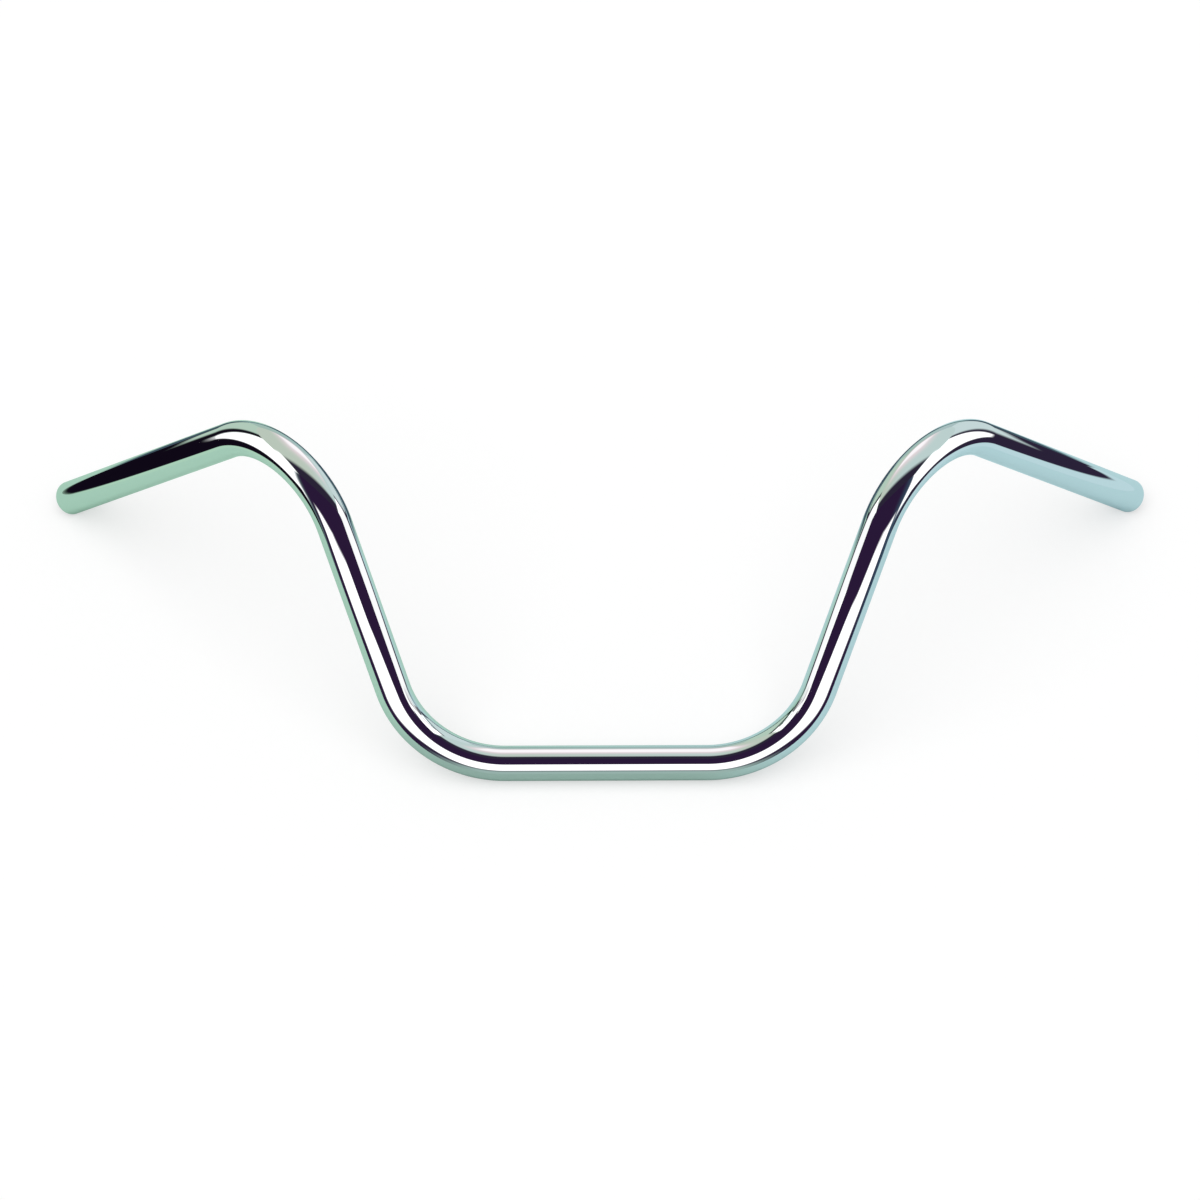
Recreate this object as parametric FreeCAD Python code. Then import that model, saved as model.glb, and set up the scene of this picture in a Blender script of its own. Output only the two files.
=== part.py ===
"""A buckhorn motorcycle handlebar: one round steel tube, bent four times and chrome plated.

Millimetres. The bar lies as it comes to rest on a bench, on its clamp section and its two grip ends.
The origin is on the tube's axis, in the middle of the straight clamp section. X runs along that section,
Z is up, and the risers and grips lie back to +Y. The plane X = 0 is the bar's plane of symmetry.

The right half is drawn as a tube bender makes it: a straight run, a bend, a turn of the tube about its
own axis, and so on to the grip's end. The left half is its mirror image.
"""
import FreeCAD, Part
import math
import os

# Tube stock
TUBE_DIAMETER = 25.4
TUBE_WALL = 2.4

# Clamp section and lower bends, which lie in the plane of the risers
CLAMP_LENGTH = 145.0
LOWER_BEND_RADIUS = 83.5
LOWER_BEND_ANGLE = 72.9

# Risers and upper bends. The turn takes the upper bend back out of the plane of the risers.
RISER_LENGTH = 130.5
UPPER_BEND_RADIUS = 66.0
UPPER_BEND_ANGLE = 104.6
UPPER_BEND_TURN_BACK = 43.5

# Grips, with the edges of the cut ends broken
GRIP_LENGTH = 228.6
END_EDGE_ROUND = 0.8
BORE_EDGE_CHAMFER = 0.5

RIGHT = FreeCAD.Vector(1, 0, 0)
UP = FreeCAD.Vector(0, 0, 1)
MIDDLE = FreeCAD.Vector(0, 0, 0)


class TubeEnd:
    """The open end of the tube while it is being bent: its centre, its heading and the way it bends next."""

    def __init__(self, centre, heading, bend_side):
        self.centre = centre
        self.heading = heading
        self.bend_side = bend_side

    def section(self):
        """The tube's ring-shaped section at this end."""
        outer_radius = TUBE_DIAMETER / 2
        rings = [
            Part.Wire(Part.makeCircle(radius, self.centre, self.heading))
            for radius in (outer_radius, outer_radius - TUBE_WALL)
        ]
        return Part.makeFace(rings, "Part::FaceMakerBullseye")

    def run_straight(self, length):
        """A straight run of tube, after which the end is at its far side."""
        run = self.section().extrude(self.heading * length)
        self.centre = self.centre + self.heading * length
        return run

    def bend(self, radius, angle):
        """A bend towards the bend side, with this radius at the tube's axis and this angle in degrees."""
        bend_centre = self.centre + self.bend_side * radius
        bend_axis = self.heading.cross(self.bend_side)
        bent = self.section().revolve(bend_centre, bend_axis, angle)
        turn = FreeCAD.Rotation(bend_axis, angle)
        self.centre = bend_centre + turn.multVec(self.centre - bend_centre)
        self.heading = turn.multVec(self.heading)
        self.bend_side = turn.multVec(self.bend_side)
        return bent

    def turn_tube(self, angle):
        """Turns the tube about its own axis, so that the next bend goes another way."""
        self.bend_side = FreeCAD.Rotation(self.heading, angle).multVec(self.bend_side)


def end_edges(solid, centre):
    """The outer and inner edges of the cut end of a straight run."""
    tolerance = TUBE_WALL / 100
    rims = [
        edge
        for edge in solid.Edges
        if isinstance(edge.Curve, Part.Circle)
        and edge.Curve.Center.distanceToPoint(centre) < tolerance
    ]
    rims.sort(key=lambda edge: edge.Curve.Radius, reverse=True)
    return rims


def break_end_edges(grip, end_centre):
    """Rounds the outer edge of the cut end and chamfers the edge of its bore."""
    outer_edge = end_edges(grip, end_centre)[0]
    rounded = grip.makeFillet(END_EDGE_ROUND, [outer_edge])
    bore_edge = end_edges(rounded, end_centre)[-1]
    return rounded.makeChamfer(BORE_EDGE_CHAMFER, [bore_edge])


def right_legs(riser_side):
    """The runs and bends of the right half, and the grip's end. The lower bend goes towards riser_side."""
    tube = TubeEnd(RIGHT * (CLAMP_LENGTH / 2), RIGHT, riser_side)
    legs = [
        tube.bend(LOWER_BEND_RADIUS, LOWER_BEND_ANGLE),
        tube.run_straight(RISER_LENGTH),
    ]
    # Half a turn makes the next bend go outwards. Stopping short of it takes the bend back as well.
    half_turn = 180
    tube.turn_tube(UPPER_BEND_TURN_BACK - half_turn)
    legs.append(tube.bend(UPPER_BEND_RADIUS, UPPER_BEND_ANGLE))
    grip = tube.run_straight(GRIP_LENGTH)
    legs.append(break_end_edges(grip, tube.centre))
    return legs, tube


def rim_bottom(grip_end, lean):
    """The height of the rounded rim's lowest point when the bar leans back by this angle in degrees."""
    turn = FreeCAD.Rotation(RIGHT, -lean)
    round_centre = turn.multVec(grip_end.centre - grip_end.heading * END_EDGE_ROUND)
    heading = turn.multVec(grip_end.heading)
    rim_radius = TUBE_DIAMETER / 2 - END_EDGE_ROUND
    drop = rim_radius * math.sqrt(1 - heading.z ** 2)
    return round_centre.z - drop - END_EDGE_ROUND


def rest_lean(upright_grip_end):
    """How far the risers lean back when the clamp section and both grip ends touch the bench."""
    bench = -TUBE_DIAMETER / 2
    upright, flat = 0.0, 90.0
    halvings = 50
    for _ in range(halvings):
        lean = (upright + flat) / 2
        if rim_bottom(upright_grip_end, lean) > bench:
            upright = lean
        else:
            flat = lean
    return lean


def handlebar_tube():
    """The whole bar as one solid, lying at rest, and the angle that its risers lean back."""
    upright_grip_end = right_legs(UP)[1]
    lean = rest_lean(upright_grip_end)
    riser_side = FreeCAD.Rotation(RIGHT, -lean).multVec(UP)
    right = right_legs(riser_side)[0]
    left = [leg.mirror(MIDDLE, RIGHT) for leg in right]
    clamp_start = TubeEnd(RIGHT * (-CLAMP_LENGTH / 2), RIGHT, riser_side)
    clamp_section = clamp_start.run_straight(CLAMP_LENGTH)
    bar = clamp_section.multiFuse(right + left).removeSplitter()
    return bar.Solids[0], lean


def main():
    os.makedirs("parts", exist_ok=True)
    bar, lean = handlebar_tube()
    bar.exportStep("parts/handlebar_tube.step")
    box = bar.optimalBoundingBox()
    print("valid", bar.isValid(), "faces", len(bar.Faces), "volume mm3", round(bar.Volume, 1))
    print("risers lean back, degrees", round(lean, 3))
    print("x", round(box.XMin, 2), round(box.XMax, 2))
    print("y", round(box.YMin, 2), round(box.YMax, 2))
    print("z", round(box.ZMin, 2), round(box.ZMax, 2))


main()
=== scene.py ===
import math
from collections import namedtuple
import bpy
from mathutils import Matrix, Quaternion, Vector


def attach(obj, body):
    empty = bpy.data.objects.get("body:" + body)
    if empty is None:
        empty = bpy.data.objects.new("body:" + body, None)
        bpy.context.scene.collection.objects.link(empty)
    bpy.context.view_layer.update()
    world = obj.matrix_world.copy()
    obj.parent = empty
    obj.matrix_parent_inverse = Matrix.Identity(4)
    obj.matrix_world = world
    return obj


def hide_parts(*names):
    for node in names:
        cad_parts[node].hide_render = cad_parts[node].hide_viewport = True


# A buckhorn handlebar: one steel tube, bent four times and chrome plated. It lies on a pale floor in a light
# tent. Metres and degrees. The origin is in the middle of the clamp section, on the tube's axis.
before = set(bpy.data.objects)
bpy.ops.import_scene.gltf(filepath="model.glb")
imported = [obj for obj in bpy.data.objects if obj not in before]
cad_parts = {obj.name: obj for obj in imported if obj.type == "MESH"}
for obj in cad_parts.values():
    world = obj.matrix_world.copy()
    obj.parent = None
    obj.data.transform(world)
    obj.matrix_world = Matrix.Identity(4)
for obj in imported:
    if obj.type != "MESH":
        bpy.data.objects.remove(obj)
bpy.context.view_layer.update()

# The tube and its bends, with the sizes that the solid has
TUBE_RADIUS = 0.0127
TUBE_WALL = 0.0024
BORE_RADIUS = TUBE_RADIUS - TUBE_WALL
CLAMP_LENGTH = 0.145
LOWER_BEND_RADIUS = 0.0835
LOWER_BEND_ANGLE = 72.9
RISER_LENGTH = 0.1305
UPPER_BEND_RADIUS = 0.066
UPPER_BEND_ANGLE = 104.6
UPPER_BEND_TURN_BACK = 43.5
GRIP_LENGTH = 0.2286
END_EDGE_ROUND = 0.0008
BORE_EDGE_CHAMFER = 0.0005
RISER_LEAN = 31.859718
FLOOR_HEIGHT = -TUBE_RADIUS

# How finely the tube is divided
SIDES = 96
SKIN_BEND_STEP = 1.5
SKIN_STRAIGHT_STEP = 0.012
BORE_BEND_STEP = 4.5
BORE_STRAIGHT_STEP = 0.04
RIM_STEPS = 5

# The tube's ends by the way that they face, and the material slots of its outside and its bore
RIGHT_END, LEFT_END = 1, -1
CHROME_SLOT, BORE_SLOT = 0, 1

# The camera, at the photograph's place and angle
CAMERA_PLACE = Vector((-0.05332, -1.37200, 2.12973))
CAMERA_TARGET = Vector((-0.004316, 0.09, 0.076001))
CAMERA_ROLL = 1.41424
CAMERA_LENS = 105.431
CAMERA_SENSOR = 36.0

# A station is a place on the tube's axis. Its mark points to a line along the tube's side.
Station = namedtuple("Station", "centre heading mark along")
# A ring is a loop of points about a station. Before and after are the normals of the faces on its two sides.
Ring = namedtuple("Ring", "station out shift radius before after")


# The tube's shape
class TubeEnd:
    """The end of the tube while it is bent: its centre, heading, bend side, and a mark on its side."""

    def __init__(self, bend_side):
        self.centre = Vector((0, 0, 0))
        self.heading = Vector((1, 0, 0))
        self.bend_side = bend_side.copy()
        self.mark = bend_side.copy()
        self.along = 0.0
        self.stations = []
        self.note_station()

    def note_station(self):
        self.stations.append(Station(self.centre.copy(), self.heading.copy(), self.mark.copy(), self.along))

    def run_straight(self, length, longest_step):
        steps = math.ceil(length / longest_step)
        for _ in range(steps):
            self.centre = self.centre + self.heading * (length / steps)
            self.along += length / steps
            self.note_station()

    def bend(self, radius, angle, longest_step):
        steps = math.ceil(angle / longest_step)
        step = math.radians(angle) / steps
        bend_centre = self.centre + self.bend_side * radius
        turn = Quaternion(self.heading.cross(self.bend_side), step)
        for _ in range(steps):
            self.centre = bend_centre + turn @ (self.centre - bend_centre)
            self.heading = turn @ self.heading
            self.bend_side = turn @ self.bend_side
            self.mark = turn @ self.mark
            self.along += radius * step
            self.note_station()

    def turn_tube(self, angle):
        self.bend_side = Quaternion(self.heading, math.radians(angle)) @ self.bend_side


def riser_foot(bend_step=SKIN_BEND_STEP, straight_step=SKIN_STRAIGHT_STEP):
    """The right half, bent from the middle of the clamp section as far as the riser's lower end."""
    lean = math.radians(RISER_LEAN)
    tube = TubeEnd(Vector((0, math.sin(lean), math.cos(lean))))
    tube.run_straight(CLAMP_LENGTH / 2, straight_step)
    tube.bend(LOWER_BEND_RADIUS, LOWER_BEND_ANGLE, bend_step)
    return tube


def right_half(end_cut, bend_step, straight_step):
    """Stations from the middle of the clamp section to the right grip's end, less end_cut."""
    tube = riser_foot(bend_step, straight_step)
    tube.run_straight(RISER_LENGTH, straight_step)
    half_turn = 180
    tube.turn_tube(UPPER_BEND_TURN_BACK - half_turn)
    tube.bend(UPPER_BEND_RADIUS, UPPER_BEND_ANGLE, bend_step)
    tube.run_straight(GRIP_LENGTH - end_cut, straight_step)
    return tube.stations


def mirrored(station):
    """The same place on the left half, still heading to the right."""
    centre, heading, mark, along = station
    return Station(
        Vector((-centre.x, centre.y, centre.z)),
        Vector((heading.x, -heading.y, -heading.z)),
        Vector((-mark.x, mark.y, mark.z)),
        -along,
    )


def whole_path(end_cut, bend_step, straight_step):
    """Stations from the left grip's end to the right one."""
    right = right_half(end_cut, bend_step, straight_step)
    left = [mirrored(station) for station in reversed(right[1:])]
    return left + right


def end_rings(station, out):
    """The rounded rim, the cut face and the bore's chamfer at one end, from the outside in."""
    quarter_turn = math.radians(90)
    rings = []
    for step in range(1, RIM_STEPS + 1):
        angle = quarter_turn * step / RIM_STEPS
        normal = (math.sin(angle), math.cos(angle))
        shift = END_EDGE_ROUND * (math.sin(angle) - 1)
        radius = TUBE_RADIUS - END_EDGE_ROUND * (1 - math.cos(angle))
        rings.append(Ring(station, out, shift, radius, normal, normal))
    slant = math.sqrt(0.5)
    face_normal = (1.0, 0.0)
    chamfer_normal = (slant, -slant)
    bore_normal = (0.0, -1.0)
    rings.append(Ring(station, out, 0.0, BORE_RADIUS + BORE_EDGE_CHAMFER, face_normal, chamfer_normal))
    rings.append(Ring(station, out, -BORE_EDGE_CHAMFER, BORE_RADIUS, chamfer_normal, bore_normal))
    return rings


def reversed_ring(ring):
    """The ring as it is met the other way."""
    return ring._replace(before=ring.after, after=ring.before)


def tube_rings():
    """Every ring of the tube's surface, along the outside to the right and back through the bore."""
    outward, inward = (0.0, 1.0), (0.0, -1.0)
    skin = whole_path(END_EDGE_ROUND, SKIN_BEND_STEP, SKIN_STRAIGHT_STEP)
    bore = whole_path(BORE_EDGE_CHAMFER, BORE_BEND_STEP, BORE_STRAIGHT_STEP)
    ends = whole_path(0.0, BORE_BEND_STEP, BORE_STRAIGHT_STEP)
    rings = [Ring(station, RIGHT_END, 0.0, TUBE_RADIUS, outward, outward) for station in skin]
    rings += end_rings(ends[-1], RIGHT_END)
    bore_start = len(rings) - 1
    rings += [Ring(station, RIGHT_END, 0.0, BORE_RADIUS, inward, inward) for station in reversed(bore[1:-1])]
    bore_end = len(rings)
    rings += [reversed_ring(ring) for ring in reversed(end_rings(ends[0], LEFT_END))]
    return rings, bore_start, bore_end


def handlebar_piece():
    """The tube as one closed mesh with exact normals. Each point keeps its place on the straight tube."""
    rings, bore_start, bore_end = tube_rings()
    points, straight_places, spokes = [], [], []
    for ring in rings:
        centre, heading, mark, along = ring.station
        ring_centre = centre + heading * (ring.out * ring.shift)
        across = heading.cross(mark)
        ring_spokes = []
        for side in range(SIDES):
            angle = 2 * math.pi * side / SIDES
            spoke = mark * math.cos(angle) + across * math.sin(angle)
            ring_spokes.append(spoke)
            points.append(ring_centre + spoke * ring.radius)
            height, depth = ring.radius * math.cos(angle), ring.radius * math.sin(angle)
            straight_places += [along + ring.out * ring.shift, height, depth]
        spokes.append(ring_spokes)

    def normal(ring, spoke, axial_and_radial):
        axial, radial = axial_and_radial
        return ring.station.heading * (ring.out * axial) + spoke * radial

    faces, normals, slots = [], [], []
    for this in range(len(rings)):
        after = (this + 1) % len(rings)
        for side in range(SIDES):
            beside = (side + 1) % SIDES
            corners = ((this, side), (this, beside), (after, beside), (after, side))
            faces.append([ring * SIDES + spoke for ring, spoke in corners])
            slots.append(BORE_SLOT if bore_start <= this < bore_end else CHROME_SLOT)
            for ring, spoke in corners:
                facing = rings[ring].after if ring == this else rings[ring].before
                normals.append(normal(rings[ring], spokes[ring][spoke], facing))
    mesh = bpy.data.meshes.new("handlebar")
    mesh.from_pydata(points, [], faces)
    mesh.polygons.foreach_set("use_smooth", [True] * len(faces))
    mesh.polygons.foreach_set("material_index", slots)
    mesh.normals_split_custom_set(normals)
    straight = mesh.attributes.new("straight_place", "FLOAT_VECTOR", "POINT")
    straight.data.foreach_set("vector", straight_places)
    return add_object("handlebar", mesh)


def add_object(name, data):
    made = bpy.data.objects.new(name, data)
    bpy.context.scene.collection.objects.link(made)
    return made


# Materials
TENT_GLOW = 1.12
WINDOW_GLOW = 1.5
WHITE = (1.0, 1.0, 1.0, 1.0)


class Wire:
    """An output socket. Arithmetic with it adds the Math nodes that it needs."""

    def __init__(self, finish, socket):
        self.finish = finish
        self.socket = socket

    def math(self, operation, *others):
        return self.finish.math(operation, self, *others)

    def __add__(self, other):
        return self.math("ADD", other)

    def __radd__(self, other):
        return self.finish.math("ADD", other, self)

    def __sub__(self, other):
        return self.math("SUBTRACT", other)

    def __rsub__(self, other):
        return self.finish.math("SUBTRACT", other, self)

    def __mul__(self, other):
        return self.math("MULTIPLY", other)

    def __rmul__(self, other):
        return self.finish.math("MULTIPLY", other, self)

    def __abs__(self):
        return self.math("ABSOLUTE")

    def greater(self, other):
        return self.math("MAXIMUM", other)

    def rise(self, low, high):
        """0 below low and 1 above high, with a smooth step between them."""
        sockets = {"Value": self, "From Min": low, "From Max": high}
        return self.finish.node("ShaderNodeMapRange", {"interpolation_type": "SMOOTHSTEP"}, sockets)

    def fall(self, low, high):
        """1 below low and 0 above high."""
        return 1 - self.rise(low, high)

    def profile(self, level, steps):
        """A level that changes by each step's height, between the step's start and its end."""
        for height, start, end in steps:
            level = level + height * self.rise(start, end)
        return level


class Finish:
    """The nodes of a material or of the world."""

    def __init__(self, owner):
        owner.use_nodes = True
        self.owner = owner
        self.tree = owner.node_tree
        self.tree.nodes.clear()

    def node(self, kind, settings=None, sockets=None, output=0):
        """Adds a node: its settings first, then the values or links of its sockets."""
        made = self.tree.nodes.new(kind)
        for name, value in (settings or {}).items():
            setattr(made, name, value)
        for name, value in (sockets or {}).items():
            if isinstance(value, Wire):
                self.tree.links.new(value.socket, made.inputs[name])
            else:
                made.inputs[name].default_value = value
        return Wire(self, made.outputs[output]) if made.outputs else None

    def math(self, operation, *values):
        return self.node("ShaderNodeMath", {"operation": operation}, dict(enumerate(values)))

    def object_place(self):
        """The place on the object, as three numbers."""
        return self.split(self.node("ShaderNodeTexCoord", None, None, "Object"))

    def attribute(self, name):
        """The vector that the mesh keeps under this name."""
        return self.node("ShaderNodeAttribute", {"attribute_name": name}, None, "Vector")

    def split(self, vector):
        """The three numbers of a vector."""
        return [self.node("ShaderNodeSeparateXYZ", None, {"Vector": vector}, axis) for axis in "XYZ"]

    def mix_colours(self, share, first, second):
        """Sockets 0, 6 and 7 of a Mix node are its share and its colours, and output 2 is the mixed one."""
        sockets = {0: share, 6: first, 7: second}
        return self.node("ShaderNodeMix", {"data_type": "RGBA"}, sockets, 2)

    def mix_shaders(self, share, first, second):
        return self.node("ShaderNodeMixShader", None, {0: share, 1: first, 2: second})

    def glow(self, colour, strength=TENT_GLOW):
        return self.node("ShaderNodeEmission", None, {"Color": colour, "Strength": strength})

    def window(self):
        """The bright white of the tent's windows."""
        return self.glow(WHITE, WINDOW_GLOW)

    def blend(self, share, first, second):
        """A glow that goes from the first colour to the second."""
        return self.mix_shaders(share, self.glow(first), self.glow(second))

    def matt(self, colour):
        return self.node("ShaderNodeBsdfDiffuse", None, {"Color": colour})

    def metal(self, tone, metallic, roughness, bump):
        sockets = {"Base Color": tone, "Metallic": metallic, "Roughness": roughness, "Normal": bump}
        return self.node("ShaderNodeBsdfPrincipled", None, sockets)

    def bump(self, height, distance, strength):
        sockets = {"Strength": strength, "Distance": distance, "Height": height}
        return self.node("ShaderNodeBump", None, sockets)

    def noise(self, place, waves, detail):
        """Noise from 0 to 1, with this many waves per metre along, up and across the straight tube."""
        scaled = self.node("ShaderNodeVectorMath", {"operation": "MULTIPLY"}, {0: place, 1: waves})
        return self.node("ShaderNodeTexNoise", None, {"Vector": scaled, "Scale": 1.0, "Detail": detail})

    def end(self, shader):
        self.node("ShaderNodeOutputMaterial", None, {"Surface": shader})
        return self.owner


def display(red, green, blue):
    """A colour given as it shows on a screen, from 0 to 255, in the values that a shader takes."""
    def linear(level):
        share = level / 255
        return share / 12.92 if share <= 0.04045 else ((share + 0.055) / 1.055) ** 2.4

    return (linear(red), linear(green), linear(blue), 1.0)


# Chrome. From here on, a pair of numbers gives where a change starts and where it ends.
CHROME_TONES = ((0.855, 0.865, 0.875, 1.0), (0.885, 0.89, 0.90, 1.0))
CHROME_ROUGHNESS = 0.012
SWELL_WAVES = (40.0, 70.0, 70.0)
SWELL_HEIGHT = 0.000003
POLISH_WAVES = (2600.0, 160.0, 160.0)
POLISH_LINES = (0.5, 0.8)
POLISH_ROUGHNESS = 0.012
POLISH_TO_SWELL = 0.02
HAZE_WAVES = (18.0, 60.0, 60.0)
HAZE_PATCHES = (0.35, 0.75)
HAZE_ROUGHNESS = 0.022


def chrome_plate():
    """Bright chrome: a near mirror, with a faint swell in it and the hair lines of its polishing."""
    finish = Finish(bpy.data.materials.new("chrome_plate"))
    place = finish.attribute("straight_place")
    swell = finish.noise(place, SWELL_WAVES, detail=1.0)
    polish = finish.noise(place, POLISH_WAVES, detail=2.0)
    haze = finish.noise(place, HAZE_WAVES, detail=4.0)
    tone = finish.mix_colours(haze, *CHROME_TONES)
    roughness = CHROME_ROUGHNESS + HAZE_ROUGHNESS * haze.rise(*HAZE_PATCHES)
    roughness = roughness + POLISH_ROUGHNESS * polish.rise(*POLISH_LINES)
    bump = finish.bump(swell + POLISH_TO_SWELL * polish, SWELL_HEIGHT, strength=1.0)
    return finish.end(finish.metal(tone, metallic=1.0, roughness=roughness, bump=bump))


# The bore, whose seam is a thin line on one side
STEEL_TONES = ((0.16, 0.155, 0.15, 1.0), (0.30, 0.295, 0.29, 1.0))
SCALE_TONE = (0.13, 0.105, 0.085, 1.0)
SEAM_TONE = (0.10, 0.105, 0.125, 1.0)
PLATED_TONE = (0.80, 0.81, 0.82, 1.0)
STEEL_METALLIC = 0.9
STEEL_ROUGHNESS = 0.48
DRAWN_WAVES = (25.0, 900.0, 900.0)
DRAWN_HEIGHT = 0.00008
BLOTCH_WAVES = (45.0, 110.0, 110.0)
BLOTCH_ROUGHNESS = 0.2
SCALE_PATCHES = (0.45, 0.75)
SEAM_HALF_WIDTH = (0.0006, 0.0014)
SEAM_SIDE = (0.0, 0.001)
SEAM_TO_DRAWN = 2.0
PLATED_DEPTH = 0.026
FULLY_PLATED_DEPTH = 0.002
PLATED_RAGGED_EDGE = 0.012
PLATED_SMOOTHNESS = 0.42


def bore_steel():
    """The bore: plated just inside the ends, then dull drawn steel with the line of its welded seam."""
    finish = Finish(bpy.data.materials.new("bore_steel"))
    place = finish.attribute("straight_place")
    along, height, across = finish.split(place)
    tube_end = CLAMP_LENGTH / 2 + RISER_LENGTH + GRIP_LENGTH
    tube_end += LOWER_BEND_RADIUS * math.radians(LOWER_BEND_ANGLE)
    tube_end += UPPER_BEND_RADIUS * math.radians(UPPER_BEND_ANGLE)
    drawn = finish.noise(place, DRAWN_WAVES, detail=3.0)
    blotch = finish.noise(place, BLOTCH_WAVES, detail=4.0)
    ragged = abs(along) + PLATED_RAGGED_EDGE * blotch
    plated = ragged.rise(tube_end - PLATED_DEPTH, tube_end - FULLY_PLATED_DEPTH)
    seam = abs(height).fall(*SEAM_HALF_WIDTH) * across.rise(*SEAM_SIDE)
    steel = finish.mix_colours(drawn, *STEEL_TONES)
    scaled = finish.mix_colours(blotch.rise(*SCALE_PATCHES), steel, SCALE_TONE)
    seamed = finish.mix_colours(seam, scaled, SEAM_TONE)
    tone = finish.mix_colours(plated, seamed, PLATED_TONE)
    roughness = STEEL_ROUGHNESS + BLOTCH_ROUGHNESS * blotch - PLATED_SMOOTHNESS * plated
    bump = finish.bump(drawn + SEAM_TO_DRAWN * seam, DRAWN_HEIGHT, strength=0.6)
    return finish.end(finish.metal(tone, STEEL_METALLIC, roughness, bump))


# The light tent: sheets that only the chrome's reflections see
TENT_SIDE = 0.48
TENT_FRONT = -0.065
TENT_BACK = 1.35
TENT_TOP = 0.44
# Painted shade: the near-black of the unlit room beyond the front opening, and the cards' thin shaded lower
# edges
DARK_SHADE = display(41, 25, 55)


def tent_finish(name):
    """A new finish for a sheet of the tent, whose glow isn't a lamp."""
    material = bpy.data.materials.new(name)
    material.cycles.emission_sampling = "NONE"
    return Finish(material)


# The front sheet. The lip's steps give a height, and where from the middle it starts and ends.
LIP_TOP = 0.073
LIP_TOP_RIGHT_STEPS = ((0.07, 0.09, 0.165), (0.028, 0.17, 0.225))
LIP_TOP_LEFT_STEPS = ((0.055, 0.085, 0.15), (0.047, 0.145, 0.17), (0.026, 0.2, 0.32))
LIP_FOOT = 0.014
LIP_FOOT_STEPS = ((0.014, 0.09, 0.14), (0.045, 0.18, 0.3), (0.06, 0.28, 0.36))
LIP_SOFTNESS = 0.004
LIP_SOFTNESS_STEPS = ((0.01, 0.12, 0.3),)
LIP_ENDS = (0.335, 0.37)
RIGHT_WINDOW_EDGE = (0.375, 0.405)
LEFT_WINDOW_EDGE = (-0.485, -0.42)
WINDOW_FOOT = (0.1, 0.16)
LEDGE_CLOTH = display(152, 178, 171)
LEDGE_TOP = (0.002, 0.016)
LEDGE_ENDS = (0.09, 0.16)
LEFT_DARK_CLOTH = display(90, 110, 112)
LEFT_DARK_EDGE = (-0.47, -0.38)
RIGHT_DARK_CLOTH = display(52, 72, 92)
RIGHT_DARK_EDGE = (0.27, 0.4)


def front_sheet():
    """The front opening in painted shade, with a white lip below it and the edges of the side windows beside
    it.
    """
    finish = tent_finish("tent_front")
    x, _, z = finish.object_place()
    off = abs(x)
    lip_top = x.profile(LIP_TOP, LIP_TOP_RIGHT_STEPS)
    lip_top = (0 - x).profile(lip_top, LIP_TOP_LEFT_STEPS)
    lip_foot = off.profile(LIP_FOOT, LIP_FOOT_STEPS)
    soft = off.profile(LIP_SOFTNESS, LIP_SOFTNESS_STEPS)
    lip = (z - lip_foot + soft).rise(0.0, soft * 2) * (lip_top - z + soft).rise(0.0, soft * 2)
    lip = lip * off.fall(*LIP_ENDS)
    window = x.rise(*RIGHT_WINDOW_EDGE).greater(x.fall(*LEFT_WINDOW_EDGE)) * z.rise(*WINDOW_FOOT)
    ledge = z.fall(*LEDGE_TOP) * off.fall(*LEDGE_ENDS)
    # The opening is painted shade, less dark towards the sides
    opening = finish.blend(x.fall(*LEFT_DARK_EDGE), DARK_SHADE, LEFT_DARK_CLOTH)
    opening = finish.mix_shaders(x.rise(*RIGHT_DARK_EDGE), opening, finish.glow(RIGHT_DARK_CLOTH))
    opening = finish.mix_shaders(ledge, opening, finish.glow(LEDGE_CLOTH))
    return finish.end(finish.mix_shaders(lip.greater(window), opening, finish.window()))


# The side sheets. Their steps give a height, and where from front to back it starts and ends.
GAP_SOFTNESS = 0.03
FOLD_TOP = 0.156
FOLD_TOP_STEPS = ((0.028, -0.03, 0.07), (-0.115, 0.08, 0.33), (-0.06, 0.33, 0.5))
FOLD_SOFTNESS = 0.012
SILL_STEPS = ((-0.2, 0.28, 0.31),)
FOOT_SLOPE = 0.43
FOOT_SLOPE_START = 0.06
FOOT_DROP_BACK = (-0.02, 0.05)
FOOT_SOFTNESS = 0.005
HEM_STEPS = ((-0.05, 0.33, 0.4),)
SIDE_WINDOW_BACK = (0.24, 0.3)
# A side's fold colour is painted shade, on the fold and on the gap
TentSide = namedtuple(
    "TentSide",
    "name place cloth fold_cloth foot_cloth gap_front gap_back sill_height foot_height foot_drop hem_height",
)
LEFT_SIDE = TentSide(
    name="tent_left",
    place=-TENT_SIDE,
    cloth=display(178, 203, 186),
    fold_cloth=display(15, 9, 22),
    foot_cloth=display(170, 208, 184),
    gap_front=0.25,
    gap_back=0.36,
    sill_height=0.117,
    foot_height=0.0925,
    foot_drop=0.07,
    hem_height=FLOOR_HEIGHT,
)
RIGHT_SIDE = TentSide(
    name="tent_right",
    place=TENT_SIDE,
    cloth=display(198, 216, 216),
    fold_cloth=display(42, 34, 56),
    foot_cloth=display(185, 214, 219),
    gap_front=0.235,
    gap_back=0.31,
    sill_height=0.127,
    foot_height=0.126,
    foot_drop=0.095,
    hem_height=0.006,
)


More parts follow.
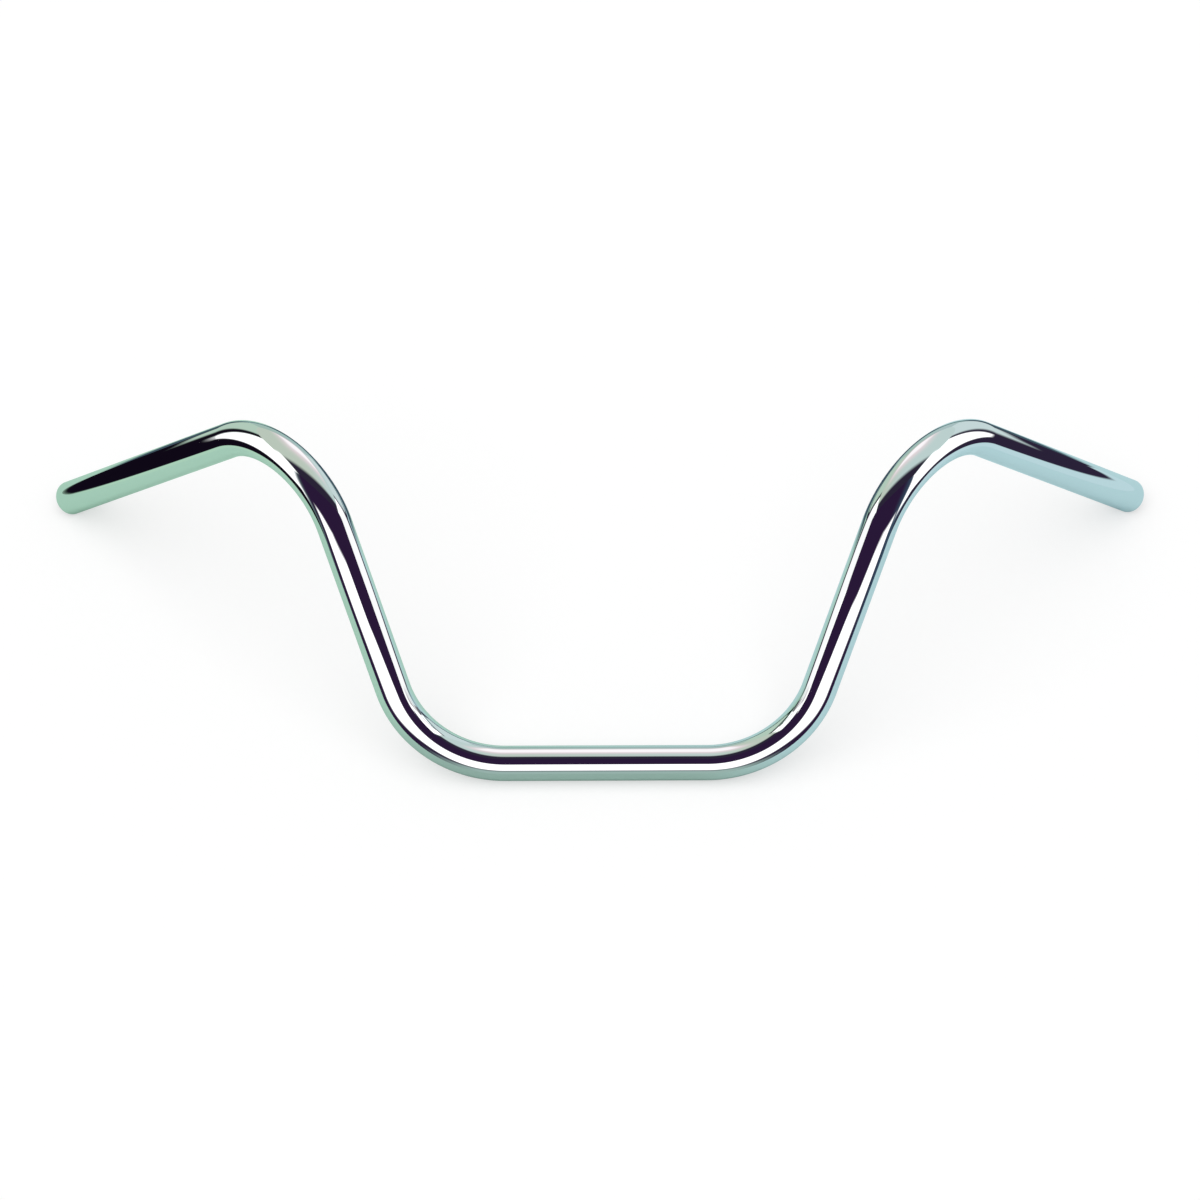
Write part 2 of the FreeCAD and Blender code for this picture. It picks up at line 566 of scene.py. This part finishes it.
def side_sheet(side):
    """A white window at the front of a side, then a gap in painted shade, then pale cloth, with a fold in
    painted shade below.
    """
    finish = tent_finish(side.name)
    _, y, z = finish.object_place()
    gap = y.rise(side.gap_front, side.gap_front + GAP_SOFTNESS)
    gap = gap * y.fall(side.gap_back - GAP_SOFTNESS, side.gap_back + GAP_SOFTNESS)
    fold_top = y.profile(FOLD_TOP, FOLD_TOP_STEPS).greater(y.profile(side.sill_height, SILL_STEPS))
    fold = (fold_top - z).rise(-FOLD_SOFTNESS, FOLD_SOFTNESS)
    fold_foot = side.foot_height - FOOT_SLOPE * y.greater(FOOT_SLOPE_START)
    fold_foot = fold_foot - side.foot_drop * y.fall(*FOOT_DROP_BACK)
    fold_foot = fold_foot.greater(y.profile(side.hem_height, HEM_STEPS))
    below = (fold_foot - z).rise(-FOOT_SOFTNESS, FOOT_SOFTNESS)
    shader = finish.mix_shaders(y.rise(*SIDE_WINDOW_BACK), finish.window(), finish.glow(side.cloth))
    # Painted shade on the gap and on the fold
    shader = finish.mix_shaders(gap.greater(fold), shader, finish.glow(side.fold_cloth))
    return finish.end(finish.mix_shaders(below, shader, finish.glow(side.foot_cloth)))


# The top sheet
TOP_LEFT_CLOTH = display(187, 200, 186)
TOP_RIGHT_CLOTH = display(189, 209, 206)
TOP_CLOTH_CHANGE = (-0.2, 0.2)
# Painted light: the lamp's warm light on the top sheet, around the lamp's glow
WARM_LAMP_LIGHT = display(226, 213, 216)
WARM_FRONT = (0.16, 0.36)
WARM_SIDES = (0.12, 0.3)
LAMP_CLOTH = display(255, 250, 252)
LAMP_FRONT = (0.32, 0.46)
LAMP_BACK = (0.85, 1.15)
LAMP_SIDES = (0.1, 0.2)
CORNER_BACK = (0.08, 0.14)
CORNER_SIDES = (0.39, 0.43)
# Painted shade of the unlit room beyond the top's open front
TOP_OPENING_SHADE = display(42, 36, 54)
TOP_OPENING_BACK = (0.045, 0.115)
TOP_OPENING_SIDES = (0.38, 0.42)


def top_sheet():
    """The pale top, open at the front in painted shade between white corners, with the lamp's glow in the
    middle and the lamp's warm light painted around it.
    """
    finish = tent_finish("tent_top")
    x, y, _ = finish.object_place()
    off = abs(x)
    shader = finish.blend(x.rise(*TOP_CLOTH_CHANGE), TOP_LEFT_CLOTH, TOP_RIGHT_CLOTH)
    # The lamp's warm light, painted on the cloth
    warm_lamp_light = y.rise(*WARM_FRONT) * off.fall(*WARM_SIDES)
    shader = finish.mix_shaders(warm_lamp_light, shader, finish.glow(WARM_LAMP_LIGHT))
    lamp = y.rise(*LAMP_FRONT) * y.fall(*LAMP_BACK) * off.fall(*LAMP_SIDES)
    shader = finish.mix_shaders(lamp, shader, finish.glow(LAMP_CLOTH))
    corner = y.fall(*CORNER_BACK) * off.rise(*CORNER_SIDES)
    shader = finish.mix_shaders(corner, shader, finish.window())
    # Painted shade at the open front
    opening = y.fall(*TOP_OPENING_BACK) * off.fall(*TOP_OPENING_SIDES)
    return finish.end(finish.mix_shaders(opening, shader, finish.glow(TOP_OPENING_SHADE)))


# The back sheet
BACK_LEFT_CLOTH = display(160, 186, 176)
BACK_RIGHT_CLOTH = display(168, 190, 190)
BACK_CLOTH_CHANGE = (-0.3, 0.3)


def back_sheet():
    """Pale cloth, a little bluer on the right."""
    finish = tent_finish("tent_back")
    x, _, _ = finish.object_place()
    return finish.end(finish.blend(x.rise(*BACK_CLOTH_CHANGE), BACK_LEFT_CLOTH, BACK_RIGHT_CLOTH))


# The narrow cards beside the risers, measured from the riser's lower end and up from the risers' plane
CARD_OFFSET = 0.04
CARD_FOOT = -0.026
CARD_TOP = 0.15
CARD_FADE = 0.02
CARD_LOWER_EDGE = -0.016
LEFT_CARD_UPPER_EDGE = 0.023
RIGHT_CARD_UPPER_EDGE = 0.0205
CARD_WHITE_DIP = -0.006
CARD_WHITE_DIP_FOOT = (0.0, 0.08)
CARD_WHITE_DIP_TOP = (0.1, 0.14)
CARD_WHITE_SOFTNESS = 0.001
CARD_DARK_EDGE = (-0.008, -0.006)


def card_finish():
    """A white card with a lower edge of painted shade, which fades out towards both of its ends."""
    finish = tent_finish("tent_cards")
    along, height, _ = finish.split(finish.attribute("card_place"))
    white_edge = CARD_WHITE_DIP * along.rise(*CARD_WHITE_DIP_FOOT) * along.fall(*CARD_WHITE_DIP_TOP)
    above = height - white_edge
    # The lower edge is a thin line of painted shade
    shader = finish.blend(above.rise(-CARD_WHITE_SOFTNESS, CARD_WHITE_SOFTNESS), DARK_SHADE, WHITE)
    shown = along.rise(CARD_FOOT, CARD_FOOT + CARD_FADE) * along.fall(CARD_TOP - CARD_FADE, CARD_TOP)
    shown = shown * above.rise(*CARD_DARK_EDGE)
    return finish.end(finish.mix_shaders(shown, finish.node("ShaderNodeBsdfTransparent"), shader))


def sheet(name, corners, material, faces=((0, 1, 2, 3),)):
    """A sheet of the tent or the floor."""
    mesh = bpy.data.meshes.new(name)
    mesh.from_pydata(corners, [], faces)
    mesh.materials.append(material)
    made = add_object(name, mesh)
    return made


def mirrored_only(made):
    """Hides a sheet from all but mirrored rays."""
    made.visible_camera = False
    made.visible_diffuse = False
    made.visible_transmission = False
    made.visible_volume_scatter = False
    made.visible_shadow = False


def riser_cards():
    """A narrow card along the inner side of each riser."""
    riser = riser_foot()
    up = riser.heading.cross(riser.bend_side)
    corners, places = [], []
    for side, upper_edge in ((LEFT_END, LEFT_CARD_UPPER_EDGE), (RIGHT_END, RIGHT_CARD_UPPER_EDGE)):
        lower = [(CARD_FOOT, CARD_LOWER_EDGE), (CARD_TOP, CARD_LOWER_EDGE)]
        upper = [(CARD_TOP, upper_edge), (CARD_FOOT, upper_edge)]
        for along, height in lower + upper:
            x, y, z = riser.centre + riser.bend_side * CARD_OFFSET + riser.heading * along + up * height
            corners.append((side * x, y, z))
            places += [along, height, 0.0]
    made = sheet("tent_cards", corners, card_finish(), ((0, 1, 2, 3), (4, 5, 6, 7)))
    card_place = made.data.attributes.new("card_place", "FLOAT_VECTOR", "POINT")
    card_place.data.foreach_set("vector", places)
    return made


def light_tent():
    def across(place, material):
        """An upright sheet from side to side."""
        feet = [(-TENT_SIDE, place, FLOOR_HEIGHT), (TENT_SIDE, place, FLOOR_HEIGHT)]
        tops = [(TENT_SIDE, place, TENT_TOP), (-TENT_SIDE, place, TENT_TOP)]
        return sheet(material.name, feet + tops, material)

    def lengthways(side):
        """An upright sheet from front to back."""
        feet = [(side.place, TENT_FRONT, FLOOR_HEIGHT), (side.place, TENT_BACK, FLOOR_HEIGHT)]
        tops = [(side.place, TENT_BACK, TENT_TOP), (side.place, TENT_FRONT, TENT_TOP)]
        return sheet(side.name, feet + tops, side_sheet(side))

    def roof():
        fore = [(-TENT_SIDE, TENT_FRONT, TENT_TOP), (TENT_SIDE, TENT_FRONT, TENT_TOP)]
        aft = [(TENT_SIDE, TENT_BACK, TENT_TOP), (-TENT_SIDE, TENT_BACK, TENT_TOP)]
        return sheet("tent_top", fore + aft, top_sheet())

    sheets = [across(TENT_FRONT, front_sheet()), across(TENT_BACK, back_sheet())]
    sheets += [lengthways(LEFT_SIDE), lengthways(RIGHT_SIDE), roof(), riser_cards()]
    for made in sheets:
        mirrored_only(made)


# Floor, backdrop and lamps. The floor's steps give a length, and where from the middle it starts and ends.
FLOOR_SHADE = 0.5
FLOOR_SIZE = 60.0
WORLD_LIGHT = 0.55
SUN_LIGHT = 1.5
SUN_SPREAD = 70
SUN_TURNS = (12, -8, 0)
LEFT_FLOOR = display(172, 212, 191)
RIGHT_FLOOR = display(184, 218, 222)
FLOOR_CHANGE = (-0.25, 0.25)
# Painted shade: the floor darker in front of the clamp section, where the bar shades it
FRONT_FLOOR_SHADE = display(150, 180, 169)
FRONT_FLOOR_BACK = (0.0, 0.06)
FRONT_FLOOR_LEFT = (-0.24, -0.1)
FRONT_FLOOR_RIGHT = (0.05, 0.18)
FAR_FLOOR = display(156, 190, 184)
FAR_FLOOR_FRONT = (0.45, 0.7)
DARK_FLOOR = display(62, 82, 94)
DARK_FLOOR_FRONT = 0.24
DARK_FLOOR_FRONT_STEPS = ((0.1, 0.2, 0.28),)
DARK_FLOOR_FRONT_FADE = 0.06
DARK_FLOOR_BACK = 0.6
DARK_FLOOR_BACK_STEPS = ((0.25, 0.05, 0.25),)
DARK_FLOOR_BACK_FADE = 0.15
BEHIND_BEND_INSIDE = (0.2, 0.25)
BEHIND_BEND_OUTSIDE = (0.33, 0.38)
BEHIND_BEND_BACK = (0.6, 0.75)


def seen_directly(finish):
    """1 for what the camera sees, straight on or through something clear."""
    direct = finish.node("ShaderNodeLightPath", None, None, "Is Camera Ray")
    through = finish.node("ShaderNodeLightPath", None, None, "Is Transmission Ray")
    return direct.greater(through)


def mirrored_ray(finish):
    return finish.node("ShaderNodeLightPath", None, None, "Is Glossy Ray")


def floor_finish():
    """White to the eye, with the bar's shadow. The chrome mirrors it as pale cloth, in painted shade in front
    of the clamp section, dark further back.
    """
    finish = Finish(bpy.data.materials.new("floor"))
    x, y, _ = finish.object_place()
    off = abs(x)
    shade = finish.matt((FLOOR_SHADE, FLOOR_SHADE, FLOOR_SHADE, 1.0))
    lift = finish.glow(WHITE, (1 - FLOOR_SHADE) * seen_directly(finish))
    white = finish.node("ShaderNodeAddShader", None, {0: shade, 1: lift})
    cloth = finish.mix_shaders(x.rise(*FLOOR_CHANGE), finish.matt(LEFT_FLOOR), finish.matt(RIGHT_FLOOR))
    # Painted shade in front of the clamp section, on top of the bar's own shadow there
    front = y.fall(*FRONT_FLOOR_BACK) * x.rise(*FRONT_FLOOR_LEFT) * x.fall(*FRONT_FLOOR_RIGHT)
    cloth = finish.mix_shaders(front, cloth, finish.matt(FRONT_FLOOR_SHADE))
    cloth = finish.mix_shaders(y.rise(*FAR_FLOOR_FRONT), cloth, finish.glow(FAR_FLOOR))
    dark_front = off.profile(DARK_FLOOR_FRONT, DARK_FLOOR_FRONT_STEPS)
    dark_back = off.profile(DARK_FLOOR_BACK, DARK_FLOOR_BACK_STEPS)
    dark = (y - dark_front).rise(0.0, DARK_FLOOR_FRONT_FADE) * (y - dark_back).fall(0.0, DARK_FLOOR_BACK_FADE)
    behind_bend = off.rise(*BEHIND_BEND_INSIDE) * off.fall(*BEHIND_BEND_OUTSIDE) * y.fall(*BEHIND_BEND_BACK)
    dark = dark * (1 - behind_bend)
    cloth = finish.mix_shaders(dark, cloth, finish.glow(DARK_FLOOR))
    return finish.end(finish.mix_shaders(mirrored_ray(finish), white, cloth))


def studio():
    half = FLOOR_SIZE / 2
    corners = [(-half, -half), (half, -half), (half, half), (-half, half)]
    sheet("floor", [(x, y, FLOOR_HEIGHT) for x, y in corners], floor_finish())
    world = bpy.data.worlds.new("studio")
    bpy.context.scene.world = world
    finish = Finish(world)
    shown = seen_directly(finish).greater(mirrored_ray(finish))
    light = finish.node("ShaderNodeBackground", None, {"Color": WHITE, "Strength": WORLD_LIGHT})
    backdrop = finish.node("ShaderNodeBackground", None, {"Color": WHITE, "Strength": 1.0})
    finish.node("ShaderNodeOutputWorld", None, {"Surface": finish.mix_shaders(shown, light, backdrop)})
    sun_data = bpy.data.lights.new("soft_sun", "SUN")
    sun_data.energy = SUN_LIGHT
    sun_data.angle = math.radians(SUN_SPREAD)
    sun = add_object("soft_sun", sun_data)
    sun.rotation_euler = [math.radians(turn) for turn in SUN_TURNS]
    sun.visible_glossy = False


def camera():
    data = bpy.data.cameras.new("camera")
    data.lens = CAMERA_LENS
    data.sensor_width = CAMERA_SENSOR
    made = add_object("camera", data)
    made.location = CAMERA_PLACE
    aim = (CAMERA_TARGET - CAMERA_PLACE).to_track_quat("-Z", "Y")
    roll = Quaternion((0, 0, 1), math.radians(CAMERA_ROLL))
    made.rotation_mode = "QUATERNION"
    made.rotation_quaternion = aim @ roll
    bpy.context.scene.camera = made


camera()
handlebar = handlebar_piece()
handlebar.data.materials.append(chrome_plate())
handlebar.data.materials.append(bore_steel())
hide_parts("handlebar_tube")
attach(handlebar, "root")
light_tent()
studio()
bpy.context.scene.view_settings.view_transform = "Standard"
